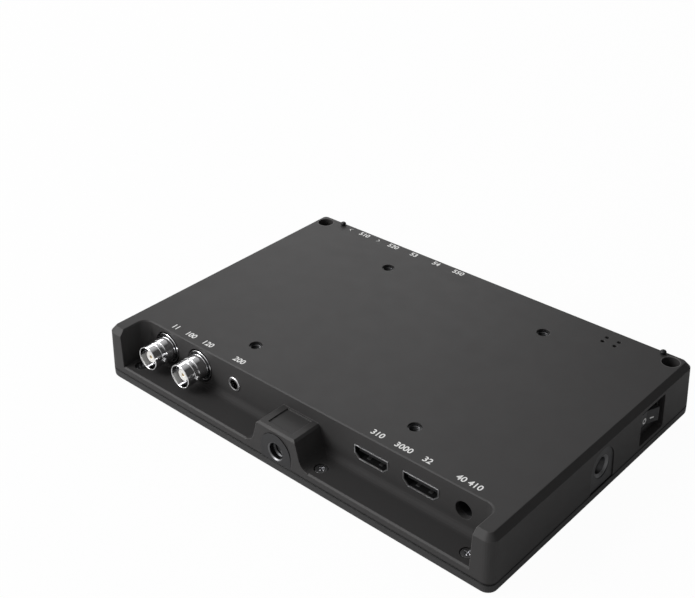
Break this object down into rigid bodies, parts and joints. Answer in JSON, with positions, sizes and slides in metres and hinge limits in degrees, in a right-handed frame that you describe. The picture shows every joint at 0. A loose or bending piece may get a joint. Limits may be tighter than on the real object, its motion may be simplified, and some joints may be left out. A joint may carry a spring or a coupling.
{
  "type": "camera field monitor",
  "caption": "Flat portable screen in a black two-part case, with recessed sockets and a tripod thread on one edge, keys on the other, and a square mounting pattern on the back.",
  "frame": {"origin": "under the middle of the body, on the plane of the front rim on which it lies", "axes": "+X to the right as seen from behind, +Y towards the key edge, +Z out of the back; the screen looks along -Z"},
  "size_m": [0.18, 0.1234, 0.0242],
  "materials": {
    "cover_plastic": "fine texture, satin black",
    "bezel_plastic": "fine texture, satin black",
    "screen_glass": "black glass with a dark screen behind",
    "foam": "dark foam",
    "cell_film": "dark film",
    "white_plastic": "white",
    "bright_steel": "plain sheet steel",
    "board_laminate": "green solder mask",
    "black_plastic": "black",
    "screw_steel": "blackened steel",
    "ribbon_film": "amber film",
    "key_plastic": "black",
    "plated_metal": "bright nickel plate",
    "gold_contact": "gold plate",
    "insert_steel": "black finished steel",
    "stud_plastic": "black",
    "rocker_plastic": "dark grey"
  },
  "bodies": {
    "housing": {"rear_cover": "cover_plastic", "front_bezel": "bezel_plastic", "screen_glass": "screen_glass", "panel_gasket": "foam", "display_cell": "cell_film", "light_guide": "white_plastic", "panel_tray": "bright_steel", "main_board": "board_laminate", "board_chips": "black_plastic", "shield_can": "bright_steel", "ribbon_sockets": "white_plastic", "board_screws": "screw_steel", "panel_ribbon": "ribbon_film", "key_ribbon": "ribbon_film", "key_board": "board_laminate", "key_switches": "bright_steel", "key_board_screws": "screw_steel", "menu_switch": "black_plastic", "coax_in_shell": "plated_metal", "coax_out_shell": "plated_metal", "coax_insulators": "white_plastic", "coax_contacts": "gold_contact", "phone_sleeve": "plated_metal", "phone_body": "black_plastic", "video_out_shell": "plated_metal", "video_in_shell": "plated_metal", "video_cores": "black_plastic", "power_jack_body": "black_plastic", "power_jack_pin": "plated_metal", "tripod_insert": "insert_steel", "side_insert": "insert_steel", "back_inserts": "insert_steel", "corner_screws": "screw_steel", "floor_screws": "screw_steel", "hood_studs": "stud_plastic", "speaker": "black_plastic", "switch_housing": "black_plastic", "switch_terminals": "gold_contact"},
    "exit_key_body": {"exit_key": "key_plastic"},
    "function_key_1_body": {"function_key_1": "key_plastic"},
    "function_key_2_body": {"function_key_2": "key_plastic"},
    "input_key_body": {"input_key": "key_plastic"},
    "menu_fork_body": {"menu_fork": "bright_steel"},
    "menu_wheel_body": {"menu_wheel": "key_plastic"},
    "power_rocker_body": {"power_rocker": "rocker_plastic"}
  },
  "joints": [
    {"name": "exit_key_press", "type": "slide", "parent": "housing", "child": "exit_key_body", "axis": [0, -1, 0], "range_m": [0, 0.0004], "stiffness_N_per_m": 500, "springref_m": -0.002},
    {"name": "function_key_1_press", "type": "slide", "parent": "housing", "child": "function_key_1_body", "axis": [0, -1, 0], "range_m": [0, 0.0004], "stiffness_N_per_m": 500, "springref_m": -0.002},
    {"name": "function_key_2_press", "type": "slide", "parent": "housing", "child": "function_key_2_body", "axis": [0, -1, 0], "range_m": [0, 0.0004], "stiffness_N_per_m": 500, "springref_m": -0.002},
    {"name": "input_key_press", "type": "slide", "parent": "housing", "child": "input_key_body", "axis": [0, -1, 0], "range_m": [0, 0.0004], "stiffness_N_per_m": 500, "springref_m": -0.002},
    {"name": "menu_press", "type": "slide", "parent": "housing", "child": "menu_fork_body", "axis": [0, -1, 0], "range_m": [0, 0.0005], "stiffness_N_per_m": 500, "springref_m": -0.002},
    {"name": "menu_turn", "type": "hinge", "parent": "menu_fork_body", "child": "menu_wheel_body", "pos_m": [-0.0626, 0.0555, 0.012], "axis": [0, 0, 1], "range_deg": [-15, 15], "stiffness_Nm_per_rad": 0.002},
    {"name": "power_rock", "type": "hinge", "parent": "housing", "child": "power_rocker_body", "pos_m": [0.0852, 0.0321, 0.0129], "axis": [0, 0, 1], "range_deg": [0, 22]}
  ]
}
